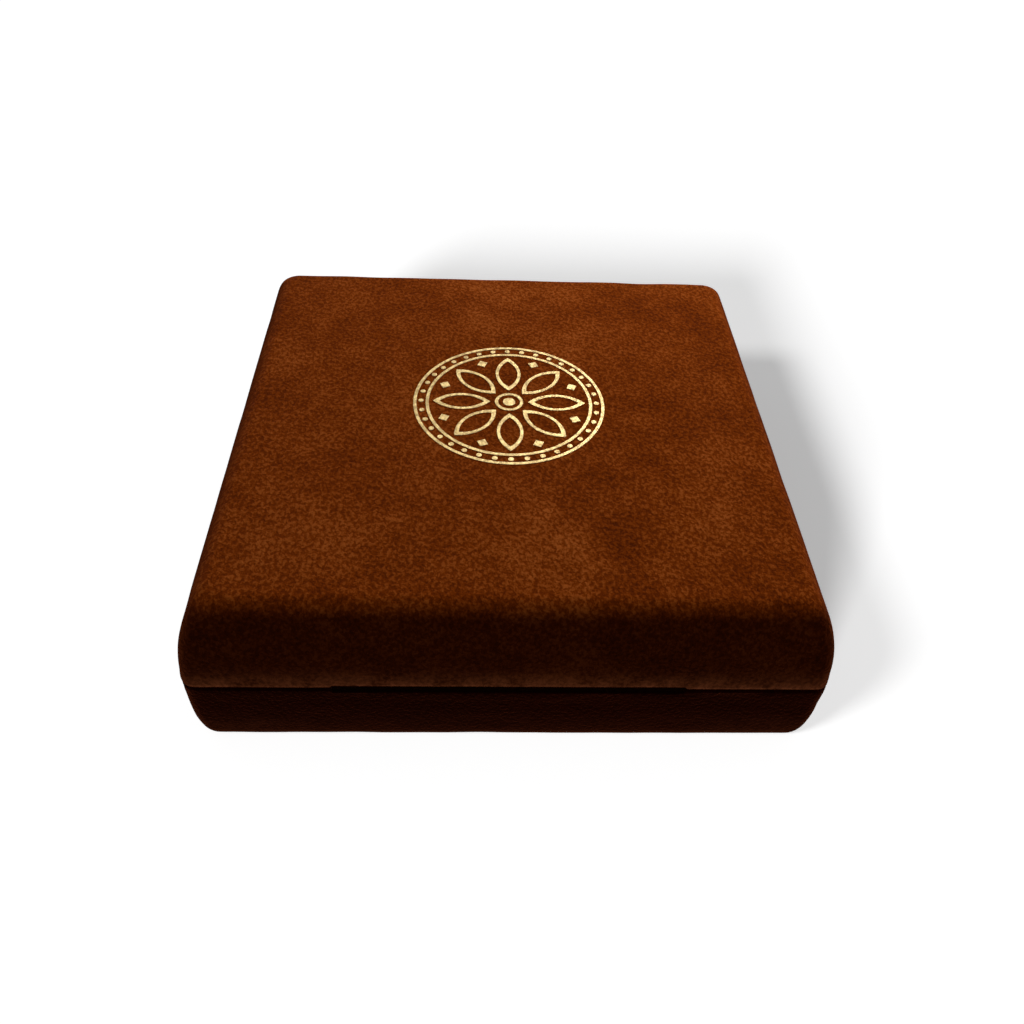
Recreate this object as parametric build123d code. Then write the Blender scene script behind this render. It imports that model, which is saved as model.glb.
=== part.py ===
from build123d import *
import os
from math import atan2, cos, degrees, pi, radians, sin, sqrt

# A velvet covered coin presentation case: two pressed shells that close like
# a clam, a hinge and two snap springs at the rear, a platform with a round
# coin well in the base and a padded lining in the lid.
# Millimetres. The origin is in the middle of the underside, +Z is up and the
# front, where the finger slot is, faces -Y.

# Whole case
case_width = 90.0
case_depth = 90.0
case_height = 27.0
seam_height = 12.9
seam_gap = 0.25
corner_radius = 2.2
least_corner_radius = 0.5
lid_knee_inset = 5.2
base_foot_inset = 2.4
lid_levels = 8
base_levels = 6

# Walls, from the outside inwards
velvet = 0.8
steel = 0.8
base_turn_in = 3.0
lid_turn_in = 7.0
finger_slot_length = 49.0
finger_slot_cut = 0.4

# Collar inside the base walls
collar_clearance = 0.3
collar_card = 1.0
collar_velvet = 0.4
collar_rise = 1.5
collar_rear_gap = 9.0

# Platform and coin well
platform_clearance = 0.1
platform_drop = 0.875
platform_velvet = 0.8
platform_board = 1.6
platform_rear_gap = 5.0
coin_well_radius = 23.0
coin_well_depth = 6.0
sleeve_thickness = 1.0
well_floor_velvet = 0.8
well_floor_board = 1.5
finger_notch_radius = 7.0

# Lid lining
lining_board_thickness = 1.2
lining_clearance = 0.35
lining_rear_setback = 5.8
pad_height = 5.0
pad_side_draw = 0.7
pad_edge_margin = 0.2
satin = 0.4
pad_levels = 9
pad_last_turn = 82.0

# Foil emblem on the lid
emblem_x = 0.4
emblem_y = 1.9
emblem_radius = 15.6
emblem_line = 0.5
emblem_ring_pitch = 2.0
emblem_bead_radius = 0.42
emblem_bead_count = 36
petal_count = 8
petal_inner_radius = 3.1
petal_outer_radius = 12.4
petal_half_width = 2.1
emblem_hub_radius = 2.3
emblem_diamond = 1.3
emblem_stud_radius = 1.0
foil = 0.1
foil_sink = 0.05

# Hinge
hinge_outset = 0.2
hinge_length = 60.0
knuckle_count = 5
knuckle_gap = 0.2
knuckle_radius = 1.3
pin_radius = 0.75
pin_clearance = 0.05
hinge_sheet = 0.5
web_relief = 0.05
base_leaf_drop = 10.6
lid_leaf_rise = 8.0
notch_clearance = 0.3
notch_side_clearance = 1.0
lid_opening = 100.0

# Rivets of the hinge leaves
rivet_positions = (-28.5, -10.0, 10.0, 28.5)
rivet_offset = 5.0
rivet_shank_radius = 0.7
rivet_head_radius = 1.3
rivet_head_height = 0.4

# Snap springs
spring_position = 20.0
spring_width = 6.0
spring_thickness = 0.3
spring_pin_radius = 0.3
spring_pin_clearance = 0.03
spring_bulge = 6.8
base_anchor_radius = 9.9
base_anchor_angle = 70.0
lid_anchor_radius = 7.3
ear_thickness = 0.6
ear_gap = 0.15
ear_rim = 0.75
spring_room = 0.5

# Sizes worked out from the ones above
base_rim = seam_height - seam_gap / 2
lid_rim = seam_height + seam_gap / 2
wall = velvet + steel
floor_top = velvet + steel
lid_ceiling = case_height - velvet - steel
hinge_y = case_depth / 2 + hinge_outset
platform_top = base_rim - platform_drop
lid_anchor_angle = (360 - lid_opening) / 2 - base_anchor_angle
big = 4 * max(case_width, case_depth, case_height)


def slab(low, high):
    """Everything between two heights."""
    return Pos(0, 0, (low + high) / 2) * Box(big, big, high - low)


def block(x_low, x_high, y_low, y_high, z_low, z_high):
    """A box from its lowest to its highest corner."""
    middle = Pos((x_low + x_high) / 2, (y_low + y_high) / 2, (z_low + z_high) / 2)
    return middle * Box(x_high - x_low, y_high - y_low, z_high - z_low)


def disc(radius, low, high, x=0.0, y=0.0):
    """An upright round bar between two heights."""
    return Pos(x, y, (low + high) / 2) * Cylinder(radius, high - low)


def section(offset, inset, height):
    """The plan outline of the case at one height, drawn in by offset and inset."""
    draw_in = 2 * (offset + inset)
    corner = max(corner_radius - offset, least_corner_radius)
    outline = RectangleRounded(case_width - draw_in, case_depth - draw_in, corner)
    return Pos(0, 0, height) * outline


def lid_inset(height):
    """How far the lid's wall has curved in at a height, a quarter of an ellipse."""
    share = min(max((height - lid_rim) / (case_height - lid_rim), 0.0), 1.0)
    return lid_knee_inset * (1 - sqrt(1 - share ** 2))


def base_inset(height):
    """How far the base's wall has curved in at a height, tighter at its foot."""
    share = min(max((base_rim - height) / base_rim, 0.0), 1.0)
    return base_foot_inset * (1 - (1 - share ** 3) ** (1 / 3))


lid_turns = [pi / 2 * step / (lid_levels - 1) for step in range(lid_levels)]
lid_heights = [lid_rim + (case_height - lid_rim) * sin(turn) for turn in lid_turns]
base_turns = [pi / 2 * step / (base_levels - 1) for step in range(base_levels)]
base_heights = [base_rim * (1 - sin(turn) ** (2 / 3)) for turn in base_turns]


def lid_form(offset):
    """The lid's outer form, drawn in sideways by offset."""
    levels = [section(offset, lid_inset(height), height) for height in lid_heights]
    return loft(levels, ruled=True)


def base_form(offset):
    """The base's outer form, drawn in sideways by offset."""
    levels = [section(offset, base_inset(height), height) for height in base_heights]
    return loft(levels, ruled=True)


base_outside = base_form(0)
base_under_velvet = base_form(velvet)
base_inside = base_form(wall)
base_turned_in = base_form(wall + velvet)
base_leaf_inside = base_form(wall + hinge_sheet)
lid_outside = lid_form(0)
lid_under_velvet = lid_form(velvet)
lid_inside = lid_form(wall)
lid_turned_in = lid_form(wall + velvet)
lid_leaf_inside = lid_form(wall + hinge_sheet)

# Room in the rear walls for the hinge
notch_half = knuckle_radius + notch_clearance
notch_half_width = hinge_length / 2 + notch_side_clearance
rear_low = case_depth / 2 - 4 * wall
hinge_notch = block(-notch_half_width, notch_half_width, rear_low, big / 4,
                    seam_height - notch_half, seam_height + notch_half)
hinge_zone = block(-notch_half_width, notch_half_width, rear_low, big / 4, 0, case_height)


def along_x(radius, x_low, x_high, y, z):
    """A round bar that lies along X."""
    return Pos((x_low + x_high) / 2, y, z) * Rot(0, 90, 0) * Cylinder(radius, x_high - x_low)


def finger_slot():
    """The long shallow slot across the front of the seam, with round ends."""
    height = seam_gap + 2 * finger_slot_cut
    outline = SlotOverall(finger_slot_length, height)
    bar = extrude(Plane.XZ * outline, amount=2 * velvet, both=True)
    return Pos(0, -case_depth / 2, seam_height) * bar


def rivets_at(height):
    """Round bars along Y, one at each rivet's place on a rear wall."""
    bars = {"shank": rivet_shank_radius, "head": rivet_head_radius}
    made = {"low": height - 2 * rivet_head_radius, "high": height + 2 * rivet_head_radius}
    for name, radius in bars.items():
        bar = Rot(90, 0, 0) * Cylinder(radius, 4 * wall)
        made[name] = [Pos(x, case_depth / 2 - wall, height) * bar for x in rivet_positions]
    return made


base_rivet_bars = rivets_at(seam_height - rivet_offset)
lid_rivet_bars = rivets_at(seam_height + rivet_offset)


def leaf_rivets(bars, under_velvet, leaf_inside, head_inside):
    """Rivets through a shell and its hinge leaf, with heads on the leaf."""
    strip = block(-hinge_length / 2, hinge_length / 2, rear_low, big / 4,
                  bars["low"], bars["high"])
    near = under_velvet & strip
    shank_layer = near - leaf_inside
    head_layer = (leaf_inside & strip) - head_inside
    rivets = []
    for shank_bar, head_bar in zip(bars["shank"], bars["head"]):
        rivets.append((shank_bar & shank_layer) + (head_bar & head_layer))
    return Compound(rivets)


# Base half

def make_base_shell():
    """The pressed steel tray under the velvet."""
    body = base_under_velvet & slab(velvet, base_rim - velvet)
    shell = body - (base_inside & slab(floor_top, base_rim)) - hinge_notch
    return shell - base_rivet_bars["shank"]


def make_base_velvet_cover():
    """Velvet over the outside of the base, turned in over its rim."""
    cover = base_outside - (base_under_velvet & slab(velvet, base_rim - velvet))
    cover -= base_turned_in & slab(base_rim - base_turn_in, base_rim)
    turned = base_inside - base_turned_in
    turned &= slab(base_rim - base_turn_in, base_rim - velvet)
    cover += turned - hinge_zone
    return cover - hinge_notch - finger_slot()


collar_outer = wall + velvet + collar_clearance
collar_top = base_rim + collar_rise
collar_end_y = case_depth / 2 - collar_rear_gap


def collar_ring(outer_offset, inner_offset, low, high):
    """Part of the collar: a straight band, open at the rear."""
    outer = extrude(section(outer_offset, 0, low), amount=high - low)
    inner = extrude(section(inner_offset, 0, low), amount=high - low)
    behind = block(-big / 4, big / 4, collar_end_y, big / 4, low - 1, high + 1)
    return outer - inner - behind


def make_collar_card():
    """The card band that the lid closes over."""
    return collar_ring(collar_outer, collar_outer + collar_card,
                       floor_top, collar_top - collar_velvet)


def make_collar_velvet():
    """Velvet on the inner face and over the top edge of the collar."""
    card_inside = collar_outer + collar_card
    velvet_inside = card_inside + collar_velvet
    face = collar_ring(card_inside, velvet_inside, floor_top, collar_top)
    cap = collar_ring(collar_outer, card_inside, collar_top - collar_velvet, collar_top)
    return face + cap


board_top = platform_top - platform_velvet
core_top = board_top - platform_board
well_floor = platform_top - coin_well_depth
floor_board_top = well_floor - well_floor_velvet
core_pocket = floor_board_top - well_floor_board
sleeve_radius = coin_well_radius + sleeve_thickness
platform_offset = collar_outer + collar_card + collar_velvet + platform_clearance
platform_rear_y = case_depth / 2 - platform_rear_gap
spring_reach = spring_bulge + base_anchor_radius * cos(radians(base_anchor_angle))


def spring_pocket(low, high):
    """Room for the two snap springs at the rear of the platform."""
    half = spring_width / 2 + ear_gap + ear_thickness + spring_room
    front = hinge_y - spring_reach - spring_thickness - spring_room
    pockets = []
    for x in (-spring_position, spring_position):
        pockets.append(block(x - half, x + half, front, case_depth / 2, low, high))
    return pockets


def finger_notches(low, high):
    """The two half round notches where a finger lifts the coin out."""
    return [disc(finger_notch_radius, low, high, x=x) for x in (-coin_well_radius, coin_well_radius)]


def platform_layer(low, high, hole_radius, hole_low):
    """One layer of the platform, with the coin well, notches and spring pockets."""
    body = extrude(section(platform_offset, 0, low), amount=high - low)
    behind = block(-big / 4, big / 4, platform_rear_y, big / 4, low - 1, high + 1)
    body -= behind
    body -= disc(hole_radius, hole_low, high + 1)
    body -= finger_notches(max(well_floor, low - 1), high + 1)
    return body - spring_pocket(low - 1, high + 1)


def make_platform_core():
    """The moulded insert that stands on the floor of the base."""
    return platform_layer(floor_top, core_top, sleeve_radius, core_pocket)


def make_platform_board():
    """The stiff board on top of the insert."""
    return platform_layer(core_top, board_top, sleeve_radius, core_top - 1)


def make_platform_velvet():
    """The velvet that faces the platform and covers the sleeve's top edge."""
    return platform_layer(board_top, platform_top, coin_well_radius, board_top - 1)


def make_well_sleeve():
    """The lining of the coin well's wall."""
    ring = disc(sleeve_radius, well_floor, board_top)
    ring -= disc(coin_well_radius, well_floor - 1, board_top + 1)
    return ring - finger_notches(well_floor - 1, board_top + 1)


def make_well_floor_board():
    """The disc under the coin."""
    return disc(sleeve_radius, core_pocket, floor_board_top)


def make_well_floor_velvet():
    """The velvet face that the coin lies on."""
    return disc(sleeve_radius, floor_board_top, well_floor)


# Lid half

def foil_outline():
    """A plain round medallion: two rings, beads, petals, diamonds and a hub."""
    outer_ring = Circle(emblem_radius) - Circle(emblem_radius - emblem_line)
    inner_radius = emblem_radius - emblem_ring_pitch
    inner_ring = Circle(inner_radius) - Circle(inner_radius - emblem_line)
    hub = Circle(emblem_hub_radius) - Circle(emblem_hub_radius - emblem_line)
    art = outer_ring + inner_ring + hub + Circle(emblem_stud_radius)
    bead_ring = emblem_radius - emblem_line / 2 - emblem_ring_pitch / 2
    art += PolarLocations(bead_ring, emblem_bead_count) * Circle(emblem_bead_radius)
    petal = lens(petal_inner_radius, petal_outer_radius, petal_half_width)
    petal -= lens(petal_inner_radius + 2 * emblem_line, petal_outer_radius - 2 * emblem_line,
                  petal_half_width - emblem_line)
    art += PolarLocations(0, petal_count) * petal
    diamond_face = Rectangle(emblem_diamond, emblem_diamond)
    diamond = Rot(0, 0, 180 / petal_count) * Pos(petal_outer_radius - 2 * emblem_line, 0)
    art += PolarLocations(0, petal_count) * (diamond * Rot(0, 0, 45) * diamond_face)
    return art


def lens(start, end, half_width):
    """A pointed leaf outline along X, between two radii."""
    middle = (start + end) / 2
    upper = ThreePointArc((start, 0), (middle, half_width), (end, 0))
    lower = ThreePointArc((end, 0), (middle, -half_width), (start, 0))
    return make_face([upper, lower])


def foil_solid(low, high):
    """The medallion as a flat solid between two heights."""
    return Pos(emblem_x, emblem_y, low) * extrude(foil_outline(), amount=high - low)


def make_foil_emblem():
    """Foil pressed into the top of the lid."""
    top = case_height - foil_sink
    return foil_solid(top - foil, top)


def make_lid_shell():
    """The pressed steel cap under the velvet."""
    body = lid_under_velvet & slab(lid_rim + velvet, case_height - velvet)
    shell = body - (lid_inside & slab(lid_rim, lid_ceiling)) - hinge_notch
    return shell - lid_rivet_bars["shank"]


def make_lid_velvet_cover():
    """Velvet over the outside of the lid, turned in over its rim."""
    cover = lid_outside - (lid_under_velvet & slab(lid_rim + velvet, case_height - velvet))
    cover -= lid_turned_in & slab(lid_rim, lid_rim + lid_turn_in)
    turned = lid_inside - lid_turned_in
    turned &= slab(lid_rim + velvet, lid_rim + lid_turn_in)
    cover += turned - hinge_zone
    cover = cover - hinge_notch - finger_slot()
    return cover - foil_solid(case_height - foil_sink - foil, case_height + foil)


lining_top = lid_ceiling
lining_offset = wall + lid_inset(lid_ceiling) + lining_clearance
lining_half_x = case_width / 2 - lining_offset
lining_front_y = lining_offset - case_depth / 2
lining_rear_y = case_depth / 2 - lining_rear_setback
lining_middle_y = (lining_front_y + lining_rear_y) / 2
lining_half_y = (lining_rear_y - lining_front_y) / 2
pad_top = lining_top - lining_board_thickness


def make_lining_board():
    """The board glued under the lid's ceiling."""
    outline = RectangleRounded(2 * lining_half_x, 2 * lining_half_y, least_corner_radius)
    board = extrude(outline, amount=lining_board_thickness)
    return Pos(0, lining_middle_y, pad_top) * board


def pad_outline(half_x, half_y, draw, height):
    """A four sided outline whose sides are pulled in by draw at their middles."""
    corners = [(half_x, half_y), (-half_x, half_y), (-half_x, -half_y), (half_x, -half_y)]
    middles = [(0, half_y - draw), (draw - half_x, 0), (0, draw - half_y), (half_x - draw, 0)]
    sides = []
    for index, middle in enumerate(middles):
        sides.append(ThreePointArc(corners[index], middle, corners[(index + 1) % 4]))
    return Pos(0, lining_middle_y, height) * make_face(sides)


def pad_form(inset):
    """The crowned pad, drawn in by inset: its sides turn over like a soft cushion."""
    sections = []
    for level in range(pad_levels):
        turn = radians(pad_last_turn) * level / (pad_levels - 1)
        spread = cos(turn) ** 0.5
        drop = (pad_height - inset) * sin(turn) ** 0.5
        half_x = (lining_half_x - pad_edge_margin - inset) * spread
        half_y = (lining_half_y - pad_edge_margin - inset) * spread
        sections.append(pad_outline(half_x, half_y, pad_side_draw * spread, pad_top - drop))
    return loft(sections, ruled=True)


def make_lining_foam():
    """The foam inside the padded lining."""
    return pad_form(satin)


def make_lining_satin():
    """The satin stretched over the foam."""
    return pad_form(0) - pad_form(satin)


# Hinge

def knuckle_spans(first):
    """The X ranges of every second knuckle, from the first or the second one."""
    pitch = hinge_length / knuckle_count
    spans = []
    for index in range(first, knuckle_count, 2):
        low = -hinge_length / 2 + index * pitch
        spans.append((low + knuckle_gap / 2, low + pitch - knuckle_gap / 2))
    return spans


def knuckles(first, side):
    """Rolled knuckles with the webs that lead to their leaf; side is -1 below the pin."""
    made = []
    web_near = seam_height + side * (pin_radius + pin_clearance + web_relief)
    web_far = seam_height + side * (knuckle_radius - web_relief)
    web_y = case_depth / 2 - wall - hinge_sheet
    for low, high in knuckle_spans(first):
        tube = along_x(knuckle_radius, low, high, hinge_y, seam_height)
        web = block(low, high, web_y, hinge_y, min(web_near, web_far), max(web_near, web_far))
        bore = along_x(pin_radius + pin_clearance, low - 1, high + 1, hinge_y, seam_height)
        made.append(tube + web - bore)
    return made


def anchor(radius, angle, side):
    """The place of a spring pin, at a radius and angle about the hinge pin."""
    y = hinge_y - radius * cos(radians(angle))
    z = seam_height + side * radius * sin(radians(angle))
    return y, z


base_anchor_y, base_anchor_z = anchor(base_anchor_radius, base_anchor_angle, -1)
lid_anchor_y, lid_anchor_z = anchor(lid_anchor_radius, lid_anchor_angle, 1)
ear_spans = []
for spring_x in (-spring_position, spring_position):
    for ear_side in (-1, 1):
        ear_near = spring_x + ear_side * (spring_width / 2 + ear_gap)
        ear_far = ear_near + ear_side * ear_thickness
        ear_spans.append((min(ear_near, ear_far), max(ear_near, ear_far)))


def ears(anchor_y, anchor_z, inside):
    """Ears that stand in from a leaf and carry the spring pins."""
    made = []
    for low, high in ear_spans:
        nose = along_x(ear_rim, low, high, anchor_y, anchor_z)
        arm = block(low, high, anchor_y, case_depth / 2, anchor_z - ear_rim, anchor_z + ear_rim)
        hole = along_x(spring_pin_radius + spring_pin_clearance, low - 1, high + 1,
                       anchor_y, anchor_z)
        made.append(((nose + arm) & inside) - hole)
    return made


def leaf_plate(inside, leaf_inside, low, high):
    """A hinge leaf that follows the inner face of a shell's rear wall."""
    zone = block(-hinge_length / 2, hinge_length / 2, rear_low, big / 4, low, high)
    return (inside - leaf_inside) & zone


def make_hinge_leaf_base():
    """The base's leaf, with its knuckles and the ears for the springs."""
    top = seam_height - pin_radius - pin_clearance - web_relief
    leaf = leaf_plate(base_inside, base_leaf_inside, seam_height - base_leaf_drop, top)
    leaf += knuckles(0, -1)
    leaf += ears(base_anchor_y, base_anchor_z, base_inside)
    return leaf - base_rivet_bars["shank"]


def make_hinge_leaf_lid():
    """The lid's leaf, with its knuckles and the ears for the springs."""
    low = seam_height + pin_radius + pin_clearance + web_relief
    leaf = leaf_plate(lid_inside, lid_leaf_inside, low, seam_height + lid_leaf_rise)
    leaf += knuckles(1, 1)
    leaf += ears(lid_anchor_y, lid_anchor_z, lid_inside)
    return leaf - lid_rivet_bars["shank"]


def make_hinge_pin():
    """The pin through all the knuckles."""
    return along_x(pin_radius, -hinge_length / 2, hinge_length / 2, hinge_y, seam_height)


def spring_pins(anchor_y, anchor_z):
    """The short pins that the spring eyes turn on."""
    reach = spring_width / 2 + ear_gap + ear_thickness
    pins = []
    for x in (-spring_position, spring_position):
        pins.append(along_x(spring_pin_radius, x - reach, x + reach, anchor_y, anchor_z))
    return Compound(pins)


def make_snap_spring(x):
    """A leaf spring bent to a C, with an eye at each end."""
    start = Vector(base_anchor_y, base_anchor_z)
    end = Vector(lid_anchor_y, lid_anchor_z)
    chord = (end - start).length
    bend = (chord ** 2 / 4 + spring_bulge ** 2) / (2 * spring_bulge)
    along = (end - start).normalized()
    inward = Vector(-along.Y, along.X)
    middle = (start + end) * 0.5
    centre = middle + inward * (spring_bulge - bend)
    eye_bore = spring_pin_radius + spring_pin_clearance
    eye = eye_bore + spring_thickness
    strip = Pos(centre.X, centre.Y) * (Circle(bend + spring_thickness / 2)
                                       - Circle(bend - spring_thickness / 2))
    turn = degrees(atan2(along.Y, along.X))
    keep = Pos(middle.X, middle.Y) * Rot(0, 0, turn) * Pos(0, bend) * Rectangle(3 * bend, 2 * bend)
    strip &= keep
    profile = strip
    for place in (start, end):
        profile += Pos(place.X, place.Y) * Circle(eye)
    for place in (start, end):
        profile -= Pos(place.X, place.Y) * Circle(eye_bore)
    bar = extrude(Plane.YZ * profile, amount=spring_width / 2, both=True)
    return Pos(x, 0, 0) * bar


base_head_inside = base_form(wall + hinge_sheet + rivet_head_height)
lid_head_inside = lid_form(wall + hinge_sheet + rivet_head_height)

parts = {
    "base_shell": make_base_shell(),
    "base_velvet_cover": make_base_velvet_cover(),
    "collar_card": make_collar_card(),
    "collar_velvet": make_collar_velvet(),
    "platform_core": make_platform_core(),
    "platform_board": make_platform_board(),
    "platform_velvet": make_platform_velvet(),
    "well_sleeve": make_well_sleeve(),
    "well_floor_board": make_well_floor_board(),
    "well_floor_velvet": make_well_floor_velvet(),
    "hinge_leaf_base": make_hinge_leaf_base(),
    "hinge_pin": make_hinge_pin(),
    "base_leaf_rivets": leaf_rivets(base_rivet_bars, base_under_velvet, base_leaf_inside,
                                    base_head_inside),
    "base_spring_pins": spring_pins(base_anchor_y, base_anchor_z),
    "lid_shell": make_lid_shell(),
    "lid_velvet_cover": make_lid_velvet_cover(),
    "lining_board": make_lining_board(),
    "lining_foam": make_lining_foam(),
    "lining_satin": make_lining_satin(),
    "foil_emblem": make_foil_emblem(),
    "hinge_leaf_lid": make_hinge_leaf_lid(),
    "lid_leaf_rivets": leaf_rivets(lid_rivet_bars, lid_under_velvet, lid_leaf_inside,
                                   lid_head_inside),
    "lid_spring_pins": spring_pins(lid_anchor_y, lid_anchor_z),
    "snap_spring_left": make_snap_spring(-spring_position),
    "snap_spring_right": make_snap_spring(spring_position),
}

os.makedirs("parts", exist_ok=True)
for name, part in parts.items():
    export_step(part, f"parts/{name}.step")
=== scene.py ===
"""The looks of a velvet covered coin presentation case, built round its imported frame."""
from dataclasses import dataclass, field
from enum import Enum
import logging
import math
from typing import Any, Iterable, Optional, Sequence, Union

import bmesh
import bpy
from mathutils import Matrix, Vector
import numpy as np


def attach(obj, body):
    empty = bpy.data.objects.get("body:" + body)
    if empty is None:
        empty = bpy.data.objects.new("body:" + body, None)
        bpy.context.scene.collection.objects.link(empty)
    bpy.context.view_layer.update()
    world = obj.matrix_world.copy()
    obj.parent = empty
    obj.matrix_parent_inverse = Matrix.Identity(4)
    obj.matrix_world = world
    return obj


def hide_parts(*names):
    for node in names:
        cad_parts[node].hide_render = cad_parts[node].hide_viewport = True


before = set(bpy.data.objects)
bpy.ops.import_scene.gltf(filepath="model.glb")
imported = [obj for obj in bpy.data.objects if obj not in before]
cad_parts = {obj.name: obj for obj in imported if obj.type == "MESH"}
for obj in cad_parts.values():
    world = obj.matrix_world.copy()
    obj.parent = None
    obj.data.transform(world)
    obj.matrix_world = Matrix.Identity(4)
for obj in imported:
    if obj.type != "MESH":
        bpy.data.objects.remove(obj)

logging.basicConfig(level=logging.INFO, format="%(message)s")
log = logging.getLogger("coin_case")

Array = np.ndarray
Band = tuple[Array, Array, Array]
MM = 0.001


# Sizes shared by the pieces, in millimetres

CASE_HALF = 45.0
CASE_HEIGHT = 27.0
SEAM_HEIGHT = 12.9
SEAM_GAP = 0.25
CORNER_RADIUS = 2.2
LEAST_CORNER = 0.5
VELVET = 0.8
STEEL = 0.8
HINGE_HALF = 31.0
HINGE_ROOM = 1.6
SLOT_HALF = 24.5
SLOT_CUT = 0.4
EMBLEM_CENTRE = (0.4, 1.9)
EMBLEM_RADIUS = 15.6

# Where the velvet's rows start and end, as insets from the wall towards the middle
FACE_START = 44.0
CEILING_END = 43.0

# A point belongs to the front or rear wall more and more between these distances from the middle
WALL_SIDE = (30.0, 40.0)


def smooth_step(value: Array, low: float, high: float) -> Array:
    """A smooth rise from 0 to 1, 3t^2 - 2t^3, as value goes from low to high."""
    share = np.clip((value - low) / (high - low), 0.0, 1.0)
    return share * share * (3.0 - 2.0 * share)


def ripple(x: Array, y: Array, wavelength: float, seed: int, waves: int = 9) -> Array:
    """A gentle unevenness: the mean of sine waves that run in random directions.

    Args:
        x: first coordinate of each point, in millimetres.
        y: second coordinate of each point.
        wavelength: the middle wavelength; the waves spread from 0.6 to 1.6 times it.
        seed: fixes the random directions and phases.
        waves: how many sine waves are added.

    Returns:
        One height for each point, mostly between -1 and 1.
    """
    draw = np.random.default_rng(seed)
    total = np.zeros(np.broadcast(x, y).shape)
    for _ in range(waves):
        angle, phase = draw.uniform(0, 2 * math.pi, 2)
        number = 2 * math.pi / (wavelength * draw.uniform(0.6, 1.6))
        total += np.sin(number * (x * math.cos(angle) + y * math.sin(angle)) + phase)
    return total / math.sqrt(waves)


class Surface:
    """A closed mesh made from rows of points, each row a closed ring of columns."""

    def __init__(self, name: str, points: Array, start: Sequence[float],
                 end: Sequence[float]) -> None:
        """Joins the rows into a skin and closes it with a pole at each end.

        Args:
            name: the piece's name.
            points: rows x columns x 3 positions, in millimetres.
            start: the pole before the first row.
            end: the pole after the last row.
        """
        rows, columns, _ = points.shape
        grid = np.arange(rows * columns).reshape(rows, columns)
        after = np.roll(grid, -1, axis=1)
        quads = np.stack([grid[:-1], after[:-1], after[1:], grid[1:]], axis=-1).reshape(-1, 4)
        first, last = rows * columns, rows * columns + 1
        fans = np.concatenate([
            np.stack([np.full(columns, first), after[0], grid[0]], axis=-1),
            np.stack([np.full(columns, last), grid[-1], after[-1]], axis=-1),
        ])
        vertices = np.concatenate([points.reshape(-1, 3), [start], [end]])
        self.mesh = bpy.data.meshes.new(name)
        self.mesh.vertices.add(len(vertices))
        self.mesh.vertices.foreach_set("co", (vertices * MM).astype(np.float32).ravel())
        loops = np.concatenate([quads.ravel(), fans.ravel()]).astype(np.int32)
        counts = np.concatenate([np.full(len(quads), 4), np.full(len(fans), 3)])
        starts = np.concatenate([[0], np.cumsum(counts)[:-1]]).astype(np.int32)
        self.mesh.loops.add(len(loops))
        self.mesh.loops.foreach_set("vertex_index", loops)
        self.mesh.polygons.add(len(counts))
        self.mesh.polygons.foreach_set("loop_start", starts)
        self.mesh.polygons.foreach_set("use_smooth", np.ones(len(counts), dtype=bool))
        self.mesh.update(calc_edges=True)
        self.mesh.validate()
        turn_outwards(self.mesh)
        self.piece = add_object(name, self.mesh)

    def attribute(self, name: str, values: Array) -> None:
        """Keeps one number per grid point, with the poles taking their rows' means."""
        ends = [values[0].mean(), values[-1].mean()]
        data = np.concatenate([values.ravel(), ends]).astype(np.float32)
        layer = self.mesh.attributes.new(name, "FLOAT", "POINT")
        layer.data.foreach_set("value", data)


def read_points(mesh: bpy.types.Mesh) -> Array:
    """The mesh's points as rows of x, y and z."""
    points = np.empty(len(mesh.vertices) * 3, dtype=np.float32)
    mesh.vertices.foreach_get("co", points)
    return points.reshape(-1, 3).astype(float)


def write_points(mesh: bpy.types.Mesh, points: Array) -> None:
    """Puts the points back."""
    mesh.vertices.foreach_set("co", points.astype(np.float32).ravel())
    mesh.update()


def add_object(name: str, data: bpy.types.ID) -> bpy.types.Object:
    """Puts a new object in the scene."""
    made = bpy.data.objects.new(name, data)
    bpy.context.collection.objects.link(made)
    return made


def turn_outwards(mesh: bpy.types.Mesh) -> None:
    """Makes the faces of a closed mesh point outwards."""
    work = bmesh.new()
    work.from_mesh(mesh)
    bmesh.ops.recalc_face_normals(work, faces=work.faces)
    work.to_mesh(mesh)
    work.free()


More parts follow.
